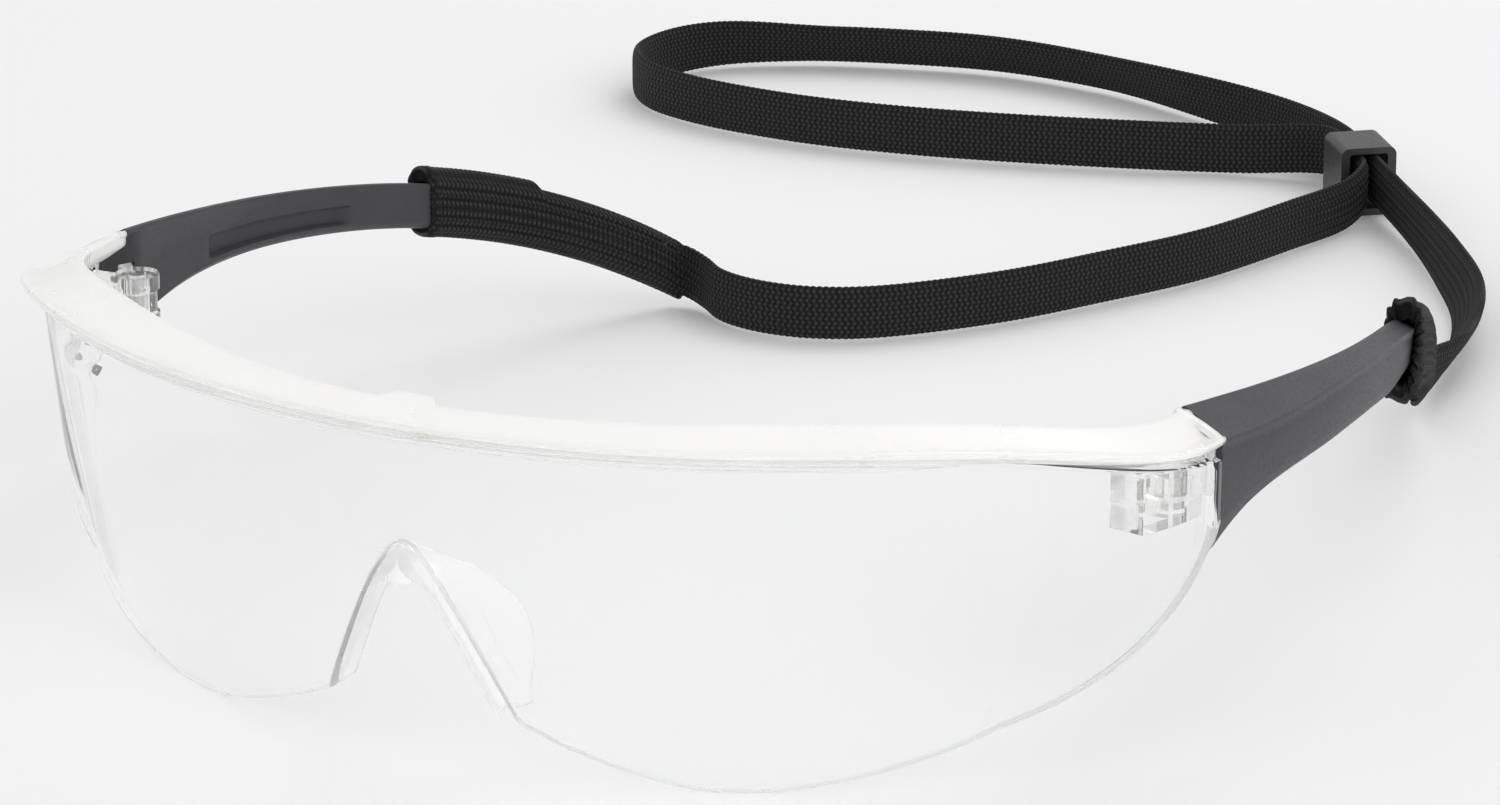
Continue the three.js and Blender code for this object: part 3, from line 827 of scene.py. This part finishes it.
def newGroup(name, inputs, outputs):
    group = bpy.data.node_groups.new(name, "ShaderNodeTree")
    for label, value in inputs:
        socket = group.interface.new_socket(label, in_out="INPUT", socket_type="NodeSocketFloat")
        socket.default_value = value
    for label in outputs:
        group.interface.new_socket(label, in_out="OUTPUT", socket_type="NodeSocketFloat")
    nodes = group.nodes
    return group, nodes, group.links, nodes.new("NodeGroupInput"), nodes.new("NodeGroupOutput")


# Each value is a number or another node's output.
def addMath(nodes, links, operation, *values, clamp=False):
    node = nodes.new("ShaderNodeMath")
    node.operation = operation
    node.use_clamp = clamp
    for socket, value in zip(node.inputs, values):
        if isinstance(value, (int, float)):
            socket.default_value = value
        else:
            links.new(value, socket)
    return node.outputs[0]


# Stitches of the braid: columns along it, whose stitches lean one way and then the other.
# Where the piece's "ribbed" is 1, the valleys between its ribs sink, which also darkens them with painted
# shade.
# The height bumps the yarn and also sets its colour: painted shade in the gaps between stitches, painted
# highlight on their tops.
def makeBraidGroup():
    group, nodes, links, given, out = newGroup(
        "braidStitches",
        [("Column Width", 0.55), ("Stitch Length", 0.6), ("Slant", 0.5), ("Rib Width", 1.03)],
        ["Height"],
    )

    def calculate(operation, *values, clamp=False):
        return addMath(nodes, links, operation, *values, clamp=clamp)

    uv = nodes.new("ShaderNodeUVMap")
    uv.uv_map = "strapUv"
    split = nodes.new("ShaderNodeSeparateXYZ")
    links.new(uv.outputs[0], split.inputs[0])
    along = calculate("MULTIPLY", split.outputs[0], 1000)
    across = calculate("MULTIPLY", split.outputs[1], 1000)
    column = calculate("DIVIDE", across, given.outputs["Column Width"])
    slanted = calculate("MULTIPLY", calculate("PINGPONG", column, 1), given.outputs["Slant"])
    shifted = calculate("ADD", calculate("DIVIDE", along, given.outputs["Stitch Length"]), slanted)
    wave = calculate("SINE", calculate("MULTIPLY", shifted, 2 * math.pi))
    stitch = calculate("MULTIPLY_ADD", wave, 0.5, 0.5)
    middle = calculate("PINGPONG", calculate("ADD", column, 0.5), 0.5)
    ridge = calculate("POWER", calculate("MULTIPLY", middle, 2), 0.5, clamp=True)
    knit = calculate("MULTIPLY", stitch, ridge)
    ribAngle = calculate("DIVIDE", calculate("MULTIPLY", across, 2 * math.pi), given.outputs["Rib Width"])
    valley = calculate("MULTIPLY_ADD", calculate("COSINE", ribAngle), 0.5, 0.5)
    narrow = calculate("POWER", valley, 2.5, clamp=True)
    ribbed = nodes.new("ShaderNodeAttribute")
    ribbed.attribute_name = "ribbed"
    sunk = calculate("MULTIPLY", calculate("MULTIPLY", narrow, ribbed.outputs["Fac"]), 0.85)
    height = calculate("MULTIPLY", knit, calculate("SUBTRACT", 1.0, sunk))
    links.new(height, out.inputs["Height"])
    return group


# Fine grain of moulded plastic, and slow unevenness of its gloss.
def makeGrainGroup():
    group, nodes, links, given, out = newGroup(
        "mouldedGrain", [("Grain Scale", 1800.0), ("Cloud Scale", 60.0)], ["Grain", "Clouds"]
    )
    coordinates = nodes.new("ShaderNodeTexCoord")
    for label, scale, detail in (("Grain", "Grain Scale", 4), ("Clouds", "Cloud Scale", 3)):
        noise = nodes.new("ShaderNodeTexNoise")
        noise.inputs["Detail"].default_value = detail
        links.new(coordinates.outputs["Object"], noise.inputs["Vector"])
        links.new(given.outputs[scale], noise.inputs["Scale"])
        links.new(noise.outputs["Fac"], out.inputs[label])
    return group


braidGroup = makeBraidGroup()
grainGroup = makeGrainGroup()


def newMaterial(name):
    material = bpy.data.materials.new(name)
    material.use_nodes = True
    nodes, links = material.node_tree.nodes, material.node_tree.links
    nodes.clear()
    shader = nodes.new("ShaderNodeBsdfPrincipled")
    result = nodes.new("ShaderNodeOutputMaterial")
    links.new(shader.outputs[0], result.inputs[0])
    return material, nodes, links, shader, result


def addGroup(nodes, group, **values):
    node = nodes.new("ShaderNodeGroup")
    node.node_tree = group
    for label, value in values.items():
        node.inputs[label.replace("_", " ")].default_value = value
    return node


# Each stop is a place from 0 to 1 with a grey or a colour.
def addRamp(nodes, links, source, stops):
    ramp = nodes.new("ShaderNodeValToRGB")
    while len(ramp.color_ramp.elements) < len(stops):
        ramp.color_ramp.elements.new(0.5)
    for element, (at, colour) in zip(ramp.color_ramp.elements, stops):
        if isinstance(colour, float):
            colour = (colour, colour, colour)
        element.position = at
        element.color = (*colour, 1)
    links.new(source, ramp.inputs[0])
    return ramp.outputs[0]


# Runs from one grey or colour to another over the middle of a noise.
def addRange(nodes, links, source, values, socket):
    links.new(addRamp(nodes, links, source, [(0.3, values[0]), (0.7, values[1])]), socket)


def addBump(nodes, links, shader, source, strength, distance):
    bump = nodes.new("ShaderNodeBump")
    bump.inputs["Strength"].default_value = strength
    bump.inputs["Distance"].default_value = distance * mm
    links.new(source, bump.inputs["Height"])
    links.new(bump.outputs[0], shader.inputs["Normal"])


# "clear" is how much light the surface lets in, "pass" what is left of a lamp's light behind it.
clearLooks = {
    "polishedPolycarbonate": {
        "tint": (0.995, 0.997, 0.997), "rough": 0.0, "ior": 1.5, "pass": 0.99, "clear": 1.0, "uneven": 0.25,
    },
    "lensEdge": {
        "tint": (0.93, 0.935, 0.94), "rough": 0.3, "ior": 1.5, "pass": 0.95, "clear": 0.5, "uneven": 0.25,
    },
    "mouldedPolycarbonate": {
        "tint": (0.955, 0.95, 0.94), "rough": 0.42, "ior": 1.44, "pass": 0.9, "clear": 0.24, "uneven": 0.04,
    },
    "polishedLip": {
        "tint": (0.98, 0.98, 0.98), "rough": 0.08, "ior": 1.46, "pass": 0.93, "clear": 0.85, "uneven": 0.04,
    },
    "edgePolycarbonate": {
        "tint": (0.955, 0.95, 0.94), "rough": 0.2, "ior": 1.44, "pass": 0.9, "clear": 0.35, "uneven": 0.25,
    },
    "hingePolycarbonate": {
        "tint": (0.955, 0.95, 0.94), "rough": 0.05, "ior": 1.44, "pass": 0.9, "clear": 0.95, "uneven": 0.25,
    },
    "clearElastomer": {
        "tint": (0.98, 0.98, 0.985), "rough": 0.1, "ior": 1.4, "pass": 0.95, "clear": 0.5, "uneven": 0.25,
    },
}


# What all the clear materials share: after so many bounces, light goes straight on.
clearGrain = {"grain": 900.0, "clouds": 90.0, "deep": 0.2, "bounces": 5}


# Clear plastic: lamps shine through it, so it leaves only a faint shadow.
def clearMaterial(name):
    look = clearLooks[name]
    material, nodes, links, shader, result = newMaterial(name)
    shader.inputs["Base Color"].default_value = (*look["tint"], 1)
    shader.inputs["Transmission Weight"].default_value = look["clear"]
    shader.inputs["IOR"].default_value = look["ior"]
    shader.inputs["Roughness"].default_value = look["rough"]
    if look["rough"] > 0:
        grain = addGroup(
            nodes, grainGroup, Grain_Scale=clearGrain["grain"], Cloud_Scale=clearGrain["clouds"],
        )
        clouds = grain.outputs["Clouds"]
        rough = (look["rough"] * 0.5, look["rough"] * 1.5)
        addRange(nodes, links, clouds, rough, shader.inputs["Roughness"])
        addBump(nodes, links, shader, clouds, look["uneven"], clearGrain["deep"])
    through = nodes.new("ShaderNodeBsdfTransparent")
    through.inputs[0].default_value = (look["pass"], look["pass"], look["pass"], 1)
    light = nodes.new("ShaderNodeLightPath")
    deep = addMath(nodes, links, "GREATER_THAN", light.outputs["Ray Depth"], clearGrain["bounces"])
    straight = addMath(nodes, links, "MAXIMUM", light.outputs["Is Shadow Ray"], deep)
    mix = nodes.new("ShaderNodeMixShader")
    links.new(straight, mix.inputs[0])
    links.new(shader.outputs[0], mix.inputs[1])
    links.new(through.outputs[0], mix.inputs[2])
    links.new(mix.outputs[0], result.inputs[0])
    return material


nylonLooks = {
    "charcoalNylon": {
        "grain": 2600.0, "clouds": 55.0, "colours": ((0.050, 0.048, 0.054), (0.066, 0.063, 0.070)),
        "rough": (0.40, 0.56), "shine": 0.22, "bump": 0.35, "deep": 0.05,
    },
    "sliderNylon": {
        "grain": 2200.0, "clouds": 80.0, "colours": ((0.026, 0.026, 0.028), (0.040, 0.039, 0.041)),
        "rough": (0.36, 0.5), "shine": 0.5, "bump": 0.3, "deep": 0.04,
    },
}


def nylonMaterial(name):
    look = nylonLooks[name]
    material, nodes, links, shader, result = newMaterial(name)
    grain = addGroup(nodes, grainGroup, Grain_Scale=look["grain"], Cloud_Scale=look["clouds"])
    addRange(nodes, links, grain.outputs["Clouds"], look["colours"], shader.inputs["Base Color"])
    addRange(nodes, links, grain.outputs["Grain"], look["rough"], shader.inputs["Roughness"])
    shader.inputs["Specular IOR Level"].default_value = look["shine"]
    addBump(nodes, links, shader, grain.outputs["Grain"], look["bump"], look["deep"])
    return material


steelLook = {
    "grain": 3000.0, "clouds": 400.0, "colours": ((0.5, 0.5, 0.51), (0.66, 0.66, 0.67)),
    "rough": (0.22, 0.38),
}


def pinSteel():
    material, nodes, links, shader, result = newMaterial("turnedSteel")
    shader.inputs["Metallic"].default_value = 1
    grain = addGroup(nodes, grainGroup, Grain_Scale=steelLook["grain"], Cloud_Scale=steelLook["clouds"])
    addRange(nodes, links, grain.outputs["Clouds"], steelLook["colours"], shader.inputs["Base Color"])
    addRange(nodes, links, grain.outputs["Grain"], steelLook["rough"], shader.inputs["Roughness"])
    return material


# Colours of the yarn, from the gaps between stitches to their tops: the dark yarn with painted shade in the
# gaps and a painted highlight on the tops.
braidLook = {
    "column": 0.6, "stitch": 0.8, "slant": 0.5, "rib": 1.03, "bump": 1.0, "deep": 0.2,
    "rough": 0.85, "sheen": 0.04, "sheenRough": 0.5, "shine": 0.12,
    "yarnWithPaintedShadeAndHighlight": [(0.0, (0.010, 0.0095, 0.010)), (0.5, (0.027, 0.026, 0.028)), (1.0, (0.058, 0.056, 0.060))],
}


def braidMaterial():
    look = braidLook
    material, nodes, links, shader, result = newMaterial("elasticBraid")
    stitches = addGroup(
        nodes, braidGroup, Column_Width=look["column"], Stitch_Length=look["stitch"], Slant=look["slant"],
        Rib_Width=look["rib"],
    )
    # the colour follows the stitch height: painted shade in the gaps and rib valleys, painted highlight on
    # the stitch tops
    links.new(addRamp(nodes, links, stitches.outputs["Height"], look["yarnWithPaintedShadeAndHighlight"]), shader.inputs["Base Color"])
    shader.inputs["Roughness"].default_value = look["rough"]
    shader.inputs["Sheen Weight"].default_value = look["sheen"]
    shader.inputs["Sheen Roughness"].default_value = look["sheenRough"]
    shader.inputs["Specular IOR Level"].default_value = look["shine"]
    addBump(nodes, links, shader, stitches.outputs["Height"], look["bump"], look["deep"])
    return material


def dress(piece, material):
    piece.data.materials.clear()
    piece.data.materials.append(material)


# A second material on the faces from low to high round each ring of a skin.
def dressBand(piece, material, around, rings, low, high):
    piece.data.materials.append(material)
    for face in piece.data.polygons[:around * rings]:
        face.material_index = 1 if low <= face.index % around < high else 0


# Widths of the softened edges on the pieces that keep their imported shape.
bevels = {"block": 0.22, "tongue": 0.15, "pin": 0.12, "slider": 0.35}


def dressNode(name, material, bevel):
    node = frame["nodes"][name]
    if not node.material_slots:
        node.data.materials.append(material)
    for slot in node.material_slots:
        slot.link = "OBJECT"
        slot.material = material
    addBevel(node, bevel)


def dressClearPieces():
    dress(lensShell, clearMaterial("polishedPolycarbonate"))
    rows = lensSizes["rows"]
    around = 2 * (rows + 1) + 8
    edge = clearMaterial("lensEdge")
    dressBand(lensShell, edge, around, lensSizes["columns"], rows, rows + lensSizes["edgeFaces"])
    dress(browGuard, clearMaterial("mouldedPolycarbonate"))
    lip = clearMaterial("polishedLip")
    dressBand(browGuard, lip, browSizes["corners"] * 4, browSizes["steps"], *browSizes["lip"])
    rim = clearMaterial("edgePolycarbonate")
    for piece in endRims:
        dress(piece, rim)
    dress(noseSaddle, clearMaterial("clearElastomer"))


def dressHinges():
    clear = clearMaterial("hingePolycarbonate")
    steel = pinSteel()
    for word in ("left", "right"):
        dressNode("hinge_block_" + word, clear, bevels["block"])
        dressNode("hinge_tongue_" + word, clear, bevels["tongue"])
        dressNode("hinge_pin_" + word, steel, bevels["pin"])


def dressDarkPieces():
    charcoal = nylonMaterial("charcoalNylon")
    for piece in temples:
        dress(piece, charcoal)
    braid = braidMaterial()
    for piece in [*sleeves, *strapPieces]:
        dress(piece, braid)
    dressNode("strap_slider", nylonMaterial("sliderNylon"), bevels["slider"])


dressClearPieces()
dressHinges()
dressDarkPieces()
print("materials set")


# Places, sizes and powers of the lamps are in metres and watts.
studio = {
    "floor": 6.0, "floorDrop": 0.0001, "floorTone": (0.9, 0.9, 0.905, 1), "floorRough": 0.9,
    "floorShine": 0.1, "sky": 0.87, "skyTones": [(0.0, 0.8), (0.2, 1.0), (0.5, 1.0), (1.0, 0.86)],
}
lamps = {
    "keyLamp": {"at": (0.15, 0.8, 1.15), "towards": (0, 0.05, 0), "size": 0.9, "power": 3.0},
    "fillLamp": {"at": (0.64, -0.3, 0.52), "towards": (0.05, 0.03, 0), "size": 0.54, "power": 1.0125},
}


def makeFloor():
    half = studio["floor"] / 2
    corners = [(-half, -half, 0), (half, -half, 0), (half, half, 0), (-half, half, 0)]
    floor = newPiece("floor", corners, [(0, 1, 2, 3)], shade=False)
    material, nodes, links, shader, result = newMaterial("paleTable")
    shader.inputs["Base Color"].default_value = studio["floorTone"]
    shader.inputs["Roughness"].default_value = studio["floorRough"]
    shader.inputs["Specular IOR Level"].default_value = studio["floorShine"]
    dress(floor, material)
    floor.location.z = -studio["floorDrop"]


def makeLamp(name):
    lamp = bpy.data.objects.new(name, bpy.data.lights.new(name, "AREA"))
    lamp.data.shape = "DISK"
    lamp.data.size = lamps[name]["size"]
    lamp.data.energy = lamps[name]["power"]
    aim(lamp, lamps[name]["at"], lamps[name]["towards"])
    bpy.context.scene.collection.objects.link(lamp)


# The sky is brightest near the horizon, which keeps the clear edges light.
def makeSky():
    world = bpy.data.worlds.new("studio")
    bpy.context.scene.world = world
    world.use_nodes = True
    nodes, links = world.node_tree.nodes, world.node_tree.links
    nodes.clear()
    sky = nodes.new("ShaderNodeBackground")
    sky.inputs["Strength"].default_value = studio["sky"]
    result = nodes.new("ShaderNodeOutputWorld")
    coordinates = nodes.new("ShaderNodeTexCoord")
    split = nodes.new("ShaderNodeSeparateXYZ")
    links.new(coordinates.outputs["Generated"], split.inputs[0])
    links.new(addRamp(nodes, links, split.outputs["Z"], studio["skyTones"]), sky.inputs["Color"])
    links.new(sky.outputs[0], result.inputs[0])


makeFloor()
makeSky()
makeLamp("keyLamp")
makeLamp("fillLamp")
bpy.context.scene.view_settings.view_transform = "Standard"
bpy.context.scene.view_settings.look = "None"
print("floor and light made")
